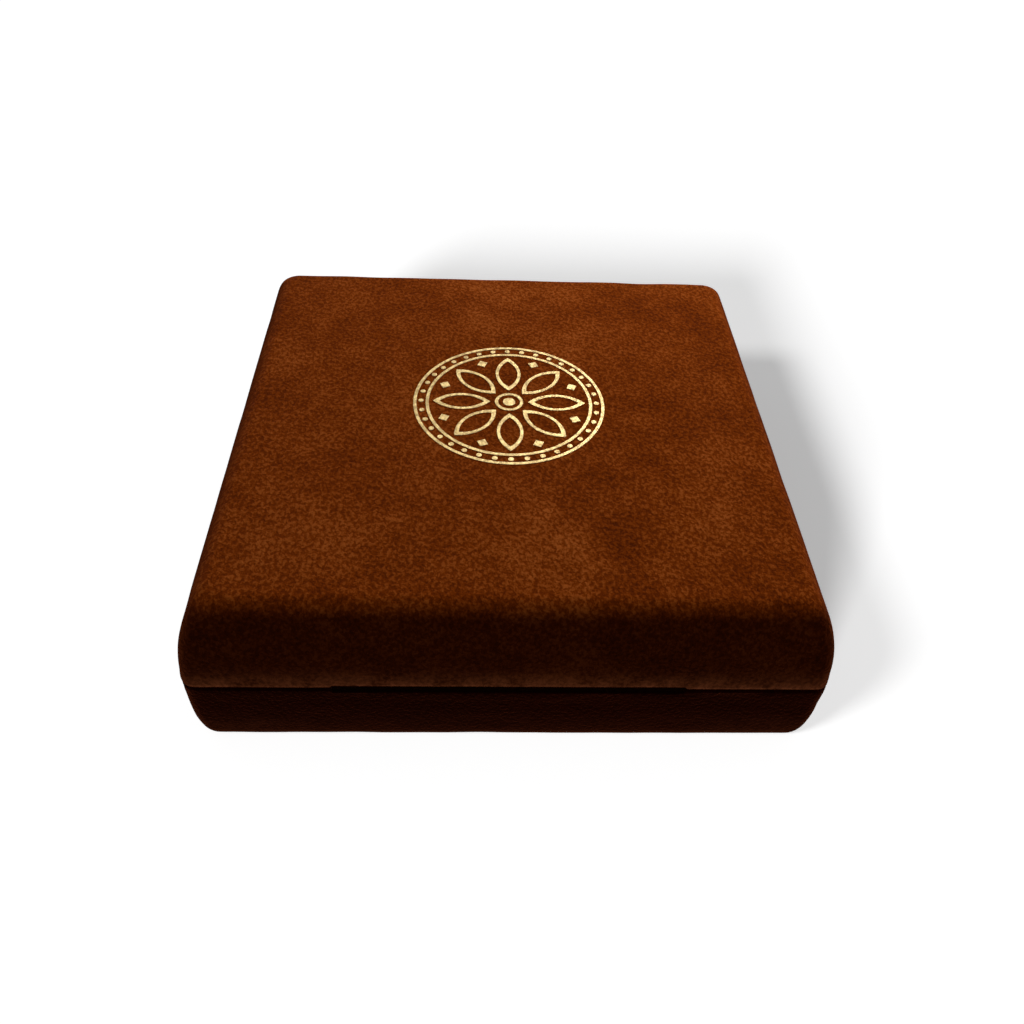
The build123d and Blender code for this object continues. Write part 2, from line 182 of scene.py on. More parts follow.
@dataclass(frozen=True)
class Outline:
    """The columns of a rounded rectangle in plan, counter-clockwise from above.

    A column is a pair of shares of the straight sides' half lengths and the angle
    of its normal, so every inset and corner radius uses the same columns.
    """

    half_x: float = CASE_HALF
    half_y: float = CASE_HALF
    centre_y: float = 0.0
    side_columns: int = 84
    corner_columns: int = 9
    fine_places: tuple[float, ...] = ()
    fine_reach: float = 1.2
    fine_step: float = 0.15
    fixed_reach: float = 35.0

    def side(self, half: float, fine: bool) -> Array:
        """Shares from -1 to 1 along one side, closer together at the fine places."""
        shares = [np.linspace(-1, 1, self.side_columns)]
        if fine:
            near = np.arange(-self.fine_reach, self.fine_reach + 1e-6, self.fine_step)
            for place in self.fine_places:
                shares += [(place + near) / half, (-place + near) / half]
        return np.unique(np.round(np.concatenate(shares), 5))

    def columns(self) -> tuple[Array, Array, Array]:
        """Shares along X and Y and the normal's angle, one of each per column."""
        straight = CASE_HALF - CORNER_RADIUS
        plain, fine = self.side(straight, False), self.side(straight, True)
        corner = np.linspace(0, math.pi / 2, self.corner_columns + 2)[1:-1]
        ones, arc = np.ones_like, np.ones_like(corner)
        along_x = [ones(plain), arc, -fine, -arc, -ones(plain), -arc, fine, arc]
        along_y = [plain, arc, ones(fine), arc, -plain, -arc, -ones(fine), -arc]
        quarter = math.pi / 2
        angles = [0 * plain, corner, quarter + 0 * fine, corner + quarter, math.pi + 0 * plain,
                  corner + math.pi, 3 * quarter + 0 * fine, corner + 3 * quarter]
        return np.concatenate(along_x), np.concatenate(along_y), np.concatenate(angles)

    def spread(self, share: Array, reach: Array, full: float) -> Array:
        """Places a share of a side, keeping the middle stretch fixed while reach is near full.

        The place is share * full * k, where k goes from 1 inside fixed_reach to
        reach / full at the corner, and is reach / full all along once the ring is
        well inside the walls.
        """
        outer = smooth_step(np.abs(share) * full, self.fixed_reach, full)
        inside = smooth_step(full - reach, 3.0, 5.0)
        weight = outer + (1 - outer) * inside
        return share * full * (1 - (1 - reach / full) * weight)

    def ring(self, inset: Array, radius: Array) -> tuple[Array, Array]:
        """X and Y of each row and column.

        Args:
            inset: rows x columns distances from the outermost outline.
            radius: rows x 1 corner radii.

        Returns:
            Two arrays of rows x columns, in millimetres.
        """
        share_x, share_y, angle = self.columns()
        reach_x = self.half_x - inset - radius
        reach_y = self.half_y - inset - radius
        x = self.spread(share_x, reach_x, self.half_x - CORNER_RADIUS) + radius * np.cos(angle)
        y = self.spread(share_y, reach_y, self.half_y - CORNER_RADIUS) + radius * np.sin(angle)
        return x, y + self.centre_y


# Shader arithmetic

Value = Union["Field", float]

# The Mix node's colour inputs share their names with its other inputs, so they go by place
MIX_SHARE = 0
MIX_FIRST = 6
MIX_SECOND = 7

# Places among the outputs of the Texture Coordinate, Attribute and Light Path nodes
OBJECT_COORDINATES = 3
ATTRIBUTE_NUMBER = 2
CAMERA_RAY = 0
GLOSSY_RAY = 3
TRANSMISSION_RAY = 6


class Field:
    """A value that varies over a surface: an output socket that takes part in arithmetic."""

    def __init__(self, shader: "Shader", socket: bpy.types.NodeSocket) -> None:
        """Wraps a node's output socket."""
        self.shader = shader
        self.socket = socket

    def math(self, operation: str, *values: Value, clamp: bool = False) -> "Field":
        """A Math node on this value and the others."""
        inputs = dict(enumerate((self, *values)))
        return self.shader.node("ShaderNodeMath", inputs, operation=operation, use_clamp=clamp)[0]

    def __add__(self, other: Value) -> "Field":
        """self + other."""
        return self.math("ADD", other)

    def __radd__(self, other: Value) -> "Field":
        """other + self."""
        return self.math("ADD", other)

    def __sub__(self, other: Value) -> "Field":
        """self - other."""
        return self.math("SUBTRACT", other)

    def __rsub__(self, other: float) -> "Field":
        """other - self."""
        return (self * -1.0) + other

    def __mul__(self, other: Value) -> "Field":
        """self * other."""
        return self.math("MULTIPLY", other)

    def __rmul__(self, other: Value) -> "Field":
        """other * self."""
        return self.math("MULTIPLY", other)

    def clamp(self) -> "Field":
        """Kept between 0 and 1."""
        return self.math("ADD", 0.0, clamp=True)

    def rise(self, low: float, high: float) -> "Field":
        """A smooth rise from 0 to 1 as the value goes from low to high."""
        inputs = {"Value": self, "From Min": low, "From Max": high}
        return self.shader.node("ShaderNodeMapRange", inputs, interpolation_type="SMOOTHSTEP")[0]


class Shader:
    """A material under construction, with its Principled node ready."""

    def __init__(self, name: str, sky: Optional[bpy.types.World] = None) -> None:
        """Starts a node material, or clears the nodes of a world to build there instead."""
        if sky is not None:
            self.tree = sky.node_tree
            self.tree.nodes.clear()
            return
        self.material = bpy.data.materials.new(name)
        self.material.use_nodes = True
        self.tree = self.material.node_tree
        self.surface = self.tree.nodes["Principled BSDF"]

    def node(self, kind: str, inputs: Optional[dict[Any, Any]] = None,
             **settings: Any) -> list[Field]:
        """Adds a node, sets its settings first and then its inputs.

        Args:
            kind: the node's type name.
            inputs: socket name or index to a value or a Field.
            **settings: the node's own properties; stops gives a ramp's places and colours.

        Returns:
            Its outputs as Fields.
        """
        made = self.tree.nodes.new(kind)
        stops = settings.pop("stops", None)
        for key, value in settings.items():
            setattr(made, key, value)
        if stops is not None:
            ramp = made.color_ramp
            while len(ramp.elements) < len(stops):
                ramp.elements.new(0.5)
            for element, (place, colour) in zip(ramp.elements, stops):
                element.position = place
                element.color = (*colour, 1.0)
        for key, value in (inputs or {}).items():
            self.feed(made.inputs[key], value)
        return [Field(self, output) for output in made.outputs if output.enabled]

    def feed(self, socket: bpy.types.NodeSocket, value: Any) -> None:
        """Links a Field to a socket, or sets a plain value on it."""
        if isinstance(value, Field):
            self.tree.links.new(value.socket, socket)
        elif socket.type == "RGBA" and len(value) == 3:
            socket.default_value = (*value, 1.0)
        else:
            socket.default_value = value

    def place(self, scale: Sequence[float] = (1, 1, 1),
              turn: Sequence[float] = (0, 0, 0)) -> Field:
        """Object coordinates in millimetres, scaled and turned."""
        coordinates = self.node("ShaderNodeTexCoord")[OBJECT_COORDINATES]
        size = tuple(factor / MM for factor in scale)
        inputs = {"Vector": coordinates, "Scale": size, "Rotation": turn}
        return self.node("ShaderNodeMapping", inputs)[0]

    def noise(self, place: Field, feature: float, detail: float = 3.0, roughness: float = 0.55,
              distortion: float = 0.0) -> Field:
        """A cloudy pattern with features about that many millimetres wide."""
        inputs = {"Vector": place, "Scale": 1.0 / feature, "Detail": detail,
                  "Roughness": roughness, "Distortion": distortion}
        return self.node("ShaderNodeTexNoise", inputs)[0]

    def stored(self, name: str) -> Field:
        """A number kept on the mesh's points."""
        return self.node("ShaderNodeAttribute", attribute_name=name)[ATTRIBUTE_NUMBER]

    def seen(self) -> Field:
        """1 to the camera, in reflections and through glass, and 0 as a soft light."""
        path = self.node("ShaderNodeLightPath")
        return (path[CAMERA_RAY] + path[GLOSSY_RAY] + path[TRANSMISSION_RAY]).clamp()

    def mix(self, share: Value, first: Any, second: Any, blend: str = "MIX") -> Field:
        """A mix of two colours."""
        inputs = {MIX_SHARE: share, MIX_FIRST: first, MIX_SECOND: second}
        return self.node("ShaderNodeMix", inputs, data_type="RGBA", blend_type=blend)[0]

    def bump(self, height: Field, distance: float, strength: float = 1.0,
             under: Optional[Field] = None) -> Field:
        """A normal from a height pattern whose full range is distance millimetres."""
        inputs: dict[str, Any] = {"Height": height, "Strength": strength,
                                  "Distance": distance * MM}
        if under is not None:
            inputs["Normal"] = under
        return self.node("ShaderNodeBump", inputs)[0]

    def finish(self, **sockets: Any) -> bpy.types.Material:
        """Sets the Principled node's sockets, whose spaces are written as underscores."""
        for key, value in sockets.items():
            self.feed(self.surface.inputs[key.replace("_", " ")], value)
        return self.material


# Finishes

Colour = tuple[float, float, float]


@dataclass(frozen=True)
class VelvetFinish:
    """Short rust brown pile: a pebbly grain, faint clouds where it was stroked, and a warm sheen.

    The mesh says how far painted shade darkens the walls below the face, where rubbed pile
    and a painted highlight lighten the rim and knee, and where painted shade darkens the
    velvet in the finger slot.
    """

    name: str = "rust_velvet"
    dark: Colour = (0.034, 0.0052, 0.0004)
    middle: Colour = (0.095, 0.0160, 0.0005)
    light: Colour = (0.205, 0.0505, 0.0080)
    # Painted shade: the velvet's colour is multiplied by this on the walls, so they are darker
    # than the face
    wall_painted_shade: Colour = (0.055, 0.004, 0.02)
    # Rubbed pile and painted highlight: the lighter colour of the lid's rim band and the base's
    # knee
    rub_and_painted_highlight: Colour = (0.240, 0.0720, 0.0280)
    # Painted shade: the near black the velvet turns in the finger slot next to the rim
    slot_painted_shade: Colour = (0.0016, 0.0003, 0.0001)
    cloud_size: float = 17.0
    mottle_size: float = 3.6
    grain_size: float = 0.55
    pile_size: float = 0.25
    sheen: float = 0.16
    sheen_tint: Colour = (0.85, 0.19, 0.07)
    stroke_angle: float = 0.22
    nap_height: float = 0.20

    def make(self) -> bpy.types.Material:
        """Builds the material."""
        shader = Shader(self.name)
        flat = shader.place()
        lean = shader.place(scale=(1.0, 0.80, 1.0), turn=(0.0, 0.0, self.stroke_angle))
        cloud = shader.noise(flat, self.cloud_size, distortion=0.3)
        mottle = shader.noise(lean, self.mottle_size, roughness=0.6, distortion=0.3)
        grain = shader.noise(lean, self.grain_size, detail=2.0, roughness=0.5, distortion=0.35)
        pile = shader.noise(flat, self.pile_size, detail=1.5, roughness=0.5)
        fleck = grain.rise(0.33, 0.67)
        tone = cloud * 0.44 + mottle * 0.34 + fleck * 0.26 + pile * 0.36 - 0.20
        colour = shader.node("ShaderNodeValToRGB", {"Fac": tone}, stops=(
            (0.22, self.dark), (0.50, self.middle), (0.80, self.light)))[0]
        # Painted shade on the walls: the colour is darkened by the wall share stored on the mesh
        full_wall_painted_shade = shader.mix(1.0, colour, self.wall_painted_shade, "MULTIPLY")
        wall_painted_shade = shader.mix(shader.stored("wall"), colour, full_wall_painted_shade)
        patches = mottle.rise(0.36, 0.62) * 0.45 + fleck * 0.4 + 0.15
        # Rubbed pile and painted highlight: the rim and knee are lightened towards this colour in
        # patches
        rub_and_painted_highlight = shader.mix((shader.stored("rub") * patches).clamp(), wall_painted_shade, self.rub_and_painted_highlight)
        # Painted shade in the finger slot: next to the rim there the colour goes almost black
        worn = shader.mix(shader.stored("slot_painted_shade"), rub_and_painted_highlight, self.slot_painted_shade)
        nap = shader.bump(fleck * 0.55 + pile * 0.45, self.nap_height, 0.7)
        relief = shader.bump(mottle, 0.25, 0.25, nap)
        return shader.finish(Base_Color=worn, Roughness=0.95, Sheen_Weight=self.sheen,
                             Sheen_Roughness=0.5, Sheen_Tint=self.sheen_tint,
                             Specular_IOR_Level=0.0, Normal=relief)


@dataclass(frozen=True)
class FoilFinish:
    """Hot stamped pale gold: bright, a little broken where the nap came through."""

    name: str = "gold_foil"
    bright: Colour = (0.56, 0.41, 0.17)
    deep: Colour = (0.30, 0.20, 0.075)
    bare: Colour = (0.16, 0.06, 0.015)

    def make(self) -> bpy.types.Material:
        """Builds the material."""
        shader = Shader(self.name)
        place = shader.place()
        tone = shader.noise(place, 0.7, 3.0, 0.6)
        pits = shader.noise(place, 0.28, 2.0, 0.55)
        worn = pits.rise(0.66, 0.74)
        colour = shader.mix(tone.rise(0.35, 0.65), self.deep, self.bright)
        colour = shader.mix(worn, colour, self.bare)
        roughness = tone * 0.25 + 0.32 + worn * 0.35
        return shader.finish(Base_Color=colour, Metallic=0.85 - worn * 0.8, Roughness=roughness,
                             Normal=shader.bump(pits + tone, 0.10, 0.8))


@dataclass(frozen=True)
class SatinFinish:
    """Ivory satin: a close weave with long floats that catch the light."""

    name: str = "ivory_satin"
    colour: Colour = (0.96, 0.87, 0.65)
    shade: Colour = (0.88, 0.77, 0.54)

    def make(self) -> bpy.types.Material:
        """Builds the material."""
        shader = Shader(self.name)
        floats = shader.noise(shader.place(scale=(1.0, 0.12, 0.4)), 0.16, 2.0, 0.5)
        wefts = shader.noise(shader.place(scale=(0.1, 1.0, 0.4)), 0.22, 2.0, 0.5)
        cloud = shader.noise(shader.place(), 9.0, 2.0, 0.5)
        weave = floats * 0.65 + wefts * 0.35
        colour = shader.mix((weave * 0.8 + cloud * 0.2).rise(0.35, 0.65), self.shade, self.colour)
        return shader.finish(Base_Color=colour, Roughness=weave * 0.22 + 0.24, Sheen_Weight=0.25,
                             Sheen_Roughness=0.3, Specular_IOR_Level=0.55,
                             Normal=shader.bump(weave, 0.04, 0.5))


@dataclass(frozen=True)
class MetalFinish:
    """Rolled sheet or drawn wire: fine lines along X, a few blotches and rubbed places."""

    name: str
    colour: Colour
    dull: Colour
    roughness: float = 0.28

    def make(self) -> bpy.types.Material:
        """Builds the material."""
        shader = Shader(self.name)
        lines = shader.noise(shader.place(scale=(0.05, 1.0, 1.0)), 0.12, 3.0, 0.6)
        blotch = shader.noise(shader.place(), 3.5, 4.0, 0.6, 0.4)
        colour = shader.mix((blotch * 0.7 + lines * 0.3).rise(0.4, 0.62), self.dull, self.colour)
        roughness = lines * 0.2 + blotch * 0.25 + self.roughness - 0.2
        return shader.finish(Base_Color=colour, Metallic=1.0, Roughness=roughness,
                             Normal=shader.bump(lines, 0.02, 0.4))


@dataclass(frozen=True)
class BoardFinish:
    """Grey-brown board: short fibres and specks."""

    name: str = "collar_card"
    colour: Colour = (0.43, 0.33, 0.21)
    fleck: Colour = (0.27, 0.19, 0.11)

    def make(self) -> bpy.types.Material:
        """Builds the material."""
        shader = Shader(self.name)
        fibre = shader.noise(shader.place(scale=(1.0, 0.3, 0.7)), 0.5, 4.0, 0.65, 1.0)
        speck = shader.noise(shader.place(), 0.9, 2.0, 0.6)
        colour = shader.mix((fibre * 0.6 + speck * 0.4).rise(0.42, 0.6), self.fleck, self.colour)
        return shader.finish(Base_Color=colour, Roughness=0.9, Specular_IOR_Level=0.0,
                             Normal=shader.bump(fibre, 0.06, 0.6))


@dataclass(frozen=True)
class FlockFinish:
    """Moulded insert dusted with short flock, a shade darker than the velvet."""

    name: str = "insert_plastic"
    colour: Colour = (0.042, 0.0070, 0.0008)
    light: Colour = (0.080, 0.0150, 0.0022)

    def make(self) -> bpy.types.Material:
        """Builds the material."""
        shader = Shader(self.name)
        dust = shader.noise(shader.place(), 0.3, 2.0, 0.6)
        colour = shader.mix(dust.rise(0.4, 0.65), self.colour, self.light)
        return shader.finish(Base_Color=colour, Roughness=0.95, Sheen_Weight=0.08,
                             Sheen_Roughness=0.5, Sheen_Tint=(1.0, 0.15, 0.03),
                             Specular_IOR_Level=0.0,
                             Normal=shader.bump(dust, 0.1, 0.5))


class Finish(Enum):
    """The record's material slots and what each is made of."""

    RUST_VELVET = VelvetFinish()
    INNER_VELVET = VelvetFinish(name="inner_velvet", cloud_size=13.0)
    # Painted shade: the coin well's floor has darker colours than the other velvet, as shade in
    # the recess
    SHADED_WELL_VELVET = VelvetFinish(name="shaded_well_velvet", dark=(0.020, 0.0030, 0.0003),
                               middle=(0.058, 0.0098, 0.0006), light=(0.120, 0.0290, 0.0050),
                               cloud_size=9.0)
    GOLD_FOIL = FoilFinish()
    IVORY_SATIN = SatinFinish()
    HINGE_BRASS = MetalFinish("hinge_brass", (0.68, 0.47, 0.19), (0.42, 0.27, 0.10), 0.30)
    PRESSED_STEEL = MetalFinish("pressed_steel", (0.17, 0.145, 0.12), (0.11, 0.09, 0.075), 0.42)
    SPRING_STEEL = MetalFinish("spring_steel", (0.36, 0.37, 0.40), (0.20, 0.20, 0.22), 0.26)
    COLLAR_CARD = BoardFinish()
    INSERT_PLASTIC = FlockFinish()
    DYED_CARD = BoardFinish("dyed_card", (0.095, 0.026, 0.007), (0.052, 0.013, 0.004))


class Wardrobe:
    """Makes each finish once and dresses pieces in it."""

    def __init__(self) -> None:
        """Starts with nothing made."""
        self.made: dict[Finish, bpy.types.Material] = {}

    def dress(self, piece: bpy.types.Object, finish: Finish) -> None:
        """Gives a piece its finish as its only material."""
        if finish not in self.made:
            self.made[finish] = finish.value.make()
        piece.data.materials.clear()
        piece.data.materials.append(self.made[finish])


# Sub-assemblies

@dataclass(frozen=True)
class VelvetHalf:
    """The velvet over one half of the case, from the middle of its face to its turned-in edge.

    The skin is one closed surface. Its profile runs from the middle of the face over
    the knee, down the wall and round the rolled rim, up the turned-in edge, and back
    between velvet and steel to the middle of the face's inner side.
    """

    name: str
    node: str
    body: str
    rim: float
    height: float
    towards: int
    knee: float
    power: float
    turn_in: float
    dish: float = 0.0
    wall_shade: float = 1.0
    rim_rub_and_highlight: float = 0.0
    knee_rub_and_highlight: float = 0.0
    roll_bulge: float = 0.07
    roll_place: float = 1.0
    roll_reach: float = 0.8
    rim_radius: float = 0.42
    lift_reach: float = 4.0
    waviness: float = 0.05
    seed: int = 3

    def curve(self, turn: Array) -> tuple[Array, Array]:
        """Height above the rim and inset of the wall, a superellipse.

        Height is H * sin(turn)^(2/n) and inset is K * (1 - cos(turn)^(2/n)).
        """
        exponent = 2.0 / self.power
        rise = self.height * np.sin(turn) ** exponent
        return rise, self.knee * (1 - np.clip(np.cos(turn), 0, 1) ** exponent)

    def inset_at(self, rise: Array) -> Array:
        """How far the wall has curved in at a height above the rim."""
        share = np.clip(rise / self.height, 0, 1)
        return self.knee * (1 - (1 - share ** self.power) ** (1 / self.power))

    def bulge(self, rise: Any) -> Any:
        """How far the cloth swells over its padding just above the rim, a bell curve."""
        return self.roll_bulge * np.exp(-((rise - self.roll_place) / self.roll_reach) ** 2)

    def outer_bands(self) -> list[Band]:
        """The face and the wall, down to where the rim starts to roll in."""
        far = np.linspace(FACE_START, 8.0, 22)
        near = np.linspace(7.6, self.knee + 0.15, 9)
        face_inset = np.concatenate([far, near])
        face = (np.full_like(face_inset, self.height), face_inset, 0 * face_inset)
        lowest = math.asin((self.rim_radius / self.height) ** (self.power / 2))
        rise, inset = self.curve(np.linspace(math.pi / 2, lowest, 46))
        return [face, (rise, inset - self.bulge(rise), 0 * rise)]

    def rim_bands(self, layer: float) -> list[Band]:
        """The rim's two quarter rounds, r(1 - sin t) and r(1 - cos t), outside and then inside."""
        turn = np.linspace(0, math.pi / 2, 7)[1:]
        radius = self.rim_radius
        rolled = radius * (1 - np.cos(turn)) - self.bulge(radius) * np.cos(turn)
        outer = (radius * (1 - np.sin(turn)), rolled, 0 * turn)
        inner = (radius * (1 - np.cos(turn)), 0 * turn, layer - radius * (1 - np.sin(turn)))
        return [outer, inner]

    def tucked_bands(self, layer: float) -> list[Band]:
        """The turned-in edge up inside the steel, its end, and its glued side down again."""
        tuck_rise = np.linspace(self.rim_radius + 0.3, self.turn_in, 12)
        tuck = (tuck_rise, self.inset_at(tuck_rise), layer + 0 * tuck_rise)
        end_depth = np.linspace(layer, layer - VELVET, 4)[1:]
        end_rise = self.turn_in + 0.15 * np.sin(np.linspace(0, math.pi, 4))[1:]
        end = (end_rise, self.inset_at(end_rise), end_depth)
        back_rise = np.linspace(self.turn_in - 0.3, VELVET, 6)
        back = (back_rise, self.inset_at(back_rise), layer - VELVET + 0 * back_rise)
        return [tuck, end, back]

    def inner_bands(self) -> list[Band]:
        """The side glued to the steel: up the wall and in to the middle of the face."""
        top = self.height - VELVET
        last = math.asin((top / self.height) ** (self.power / 2))
        first = math.asin((VELVET / self.height) ** (self.power / 2))
        rise, inset = self.curve(np.linspace(first, last, 16))
        ceiling_inset = np.linspace(inset[-1] + 1.0, CEILING_END, 8)
        ceiling = (top + 0 * ceiling_inset, ceiling_inset, VELVET + 0 * ceiling_inset)
        return [(rise, inset, VELVET + 0 * rise), ceiling]

    def profile(self) -> tuple[Array, Array, Array, Array]:
        """Height above the rim, inset, layer depth and outer weight of each row."""
        layer = 2 * VELVET + STEEL
        outer = self.outer_bands()
        hidden = self.rim_bands(layer) + self.tucked_bands(layer) + self.inner_bands()
        rise, inset, depth = (np.concatenate(rows) for rows in zip(*outer, *hidden))
        shown = sum(len(band[0]) for band in outer)
        outside = np.where(np.arange(len(rise)) < shown, 1.0, 0.0)
        return rise, inset, depth, outside

    def lift(self, x: Array, y: Array) -> tuple[Array, Array]:
        """How far the rim draws back: the finger slot in front and the hinge's room behind."""
        front = smooth_step(-y, *WALL_SIDE) * smooth_step(SLOT_HALF + 0.25 - np.abs(x), 0.0, 0.5)
        rear = smooth_step(y, *WALL_SIDE) * smooth_step(HINGE_HALF + 0.1 - np.abs(x), 0.0, 0.3)
        room = HINGE_ROOM - SEAM_GAP / 2
        return SLOT_CUT * front + room * rear, rear

    def uneven(self, x: Array, y: Array, rise: Array, outside: Array) -> tuple[Array, Array]:
        """The cloth's unevenness: how far the face sinks and by what factor the wall shrinks.

        The face sinks by its dish under the emblem and by waviness * (1 + ripple), with
        the foil's own place kept flat. The wall moves in by waviness * ripple where that
        is above 0, and nowhere out.
        """
        steep = smooth_step(rise, 0.6 * self.height, self.height)
        away = np.hypot(x - EMBLEM_CENTRE[0], y - EMBLEM_CENTRE[1])
        dish = self.dish * (1 - smooth_step(away, EMBLEM_RADIUS + 0.5, EMBLEM_RADIUS + 5.0))
        spread = smooth_step(away, EMBLEM_RADIUS, EMBLEM_RADIUS + 6)
        wave = self.waviness * ripple(x, y, 11.0, self.seed) * spread
        sink = outside * steep * (dish + np.maximum(wave + self.waviness, 0))
        around = ripple(x + y, self.rim + rise * 2, 13.0, self.seed + 1)
        side = self.waviness * around * outside * (1 - steep)
        return sink, 1 - np.maximum(side, 0) / CASE_HALF

    def wear(self, surface: Surface, x: Array, y: Array, rise: Array, outside: Array) -> None:
        """Stores the walls' painted shade and the rim's and knee's lighter bands, for the finish.

        Painted shade darkens the wall and fades out from 0.84 of the height on towards the face.
        The rim is lightened by rubbed pile and a painted highlight in two bell curves, a wide
        one and a thin one 0.3 mm above it. The knee is lightened the same way from 0.35 of
        the height on, most towards the corners.
        """
        # Painted shade: full on the wall, fading out where the face begins
        face = smooth_step(rise, 0.84 * self.height, 0.985 * self.height)
        surface.attribute("wall", self.wall_shade * (1 - outside * face) + 0 * x)
        # Rubbed pile and painted highlight along the rim and knee
        corner = smooth_step(np.minimum(np.abs(x), np.abs(y)), 22.0, 40.0)
        edge = 0.6 * np.exp(-(rise / 2.4) ** 2) + 0.5 * np.exp(-((rise - 0.3) / 0.28) ** 2)
        knee = smooth_step(rise, 0.35 * self.height, 0.75 * self.height) * (0.35 + 0.65 * corner)
        rub = outside * (self.rim_rub_and_highlight * edge + self.knee_rub_and_highlight * knee)
        fade = 1 - smooth_step(rise, 0.985 * self.height, self.height)
        surface.attribute("rub", rub * fade + 0 * x)

    def build(self, wardrobe: Wardrobe) -> bpy.types.Object:
        """Makes the piece, dresses it and says what it stands for.

        Behind, where the rim draws back for the hinge, the turned-in edge is thinner.
        Painted shade darkens the pile next to the rim at the slot in front.
        """
        outline = Outline(fine_places=(SLOT_HALF, HINGE_HALF))
        rise, inset, depth, outside = (row[:, None] for row in self.profile())
        share_x, _, _ = outline.columns()
        ring_inset = np.ones((1, len(share_x)))
        edge_x, edge_y = outline.ring(ring_inset, np.full((1, 1), CORNER_RADIUS))
        lift, hinge = self.lift(edge_x, edge_y)
        thin = np.maximum(depth - STEEL - VELVET - 0.02, 0.0)
        full = inset + depth - thin * hinge
        face_share = np.clip((CASE_HALF - inset) / (CASE_HALF - self.knee), 0, 1)
        radius = np.maximum(CORNER_RADIUS - depth, LEAST_CORNER) * face_share
        x, y = outline.ring(full + 0 * lift, radius)
        sink, shrink = self.uneven(x, y, rise, outside)
        height = rise + lift * np.clip(1 - rise / self.lift_reach, 0, 1) - sink
        points = np.stack([x * shrink, y * shrink, self.rim + self.towards * height], axis=-1)
        middle = (0.0, 0.0, self.rim + self.towards * (self.height - self.dish))
        inner = (0.0, 0.0, self.rim + self.towards * (self.height - VELVET))
        surface = Surface(self.name, points, middle, inner)
        self.wear(surface, x, y, rise, outside)
        # Painted shade in the finger slot, as shadow under the lid's edge
        slot = smooth_step(SLOT_HALF + 0.3 - np.abs(edge_x), 0.0, 0.6)
        slot_painted_shade = smooth_step(-edge_y, *WALL_SIDE) * slot * (1 - smooth_step(rise, 0.08, 0.24))
        surface.attribute("slot_painted_shade", slot_painted_shade + 0 * x)
        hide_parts(self.node)
        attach(surface.piece, self.body)
        wardrobe.dress(surface.piece, Finish.RUST_VELVET)
        return surface.piece


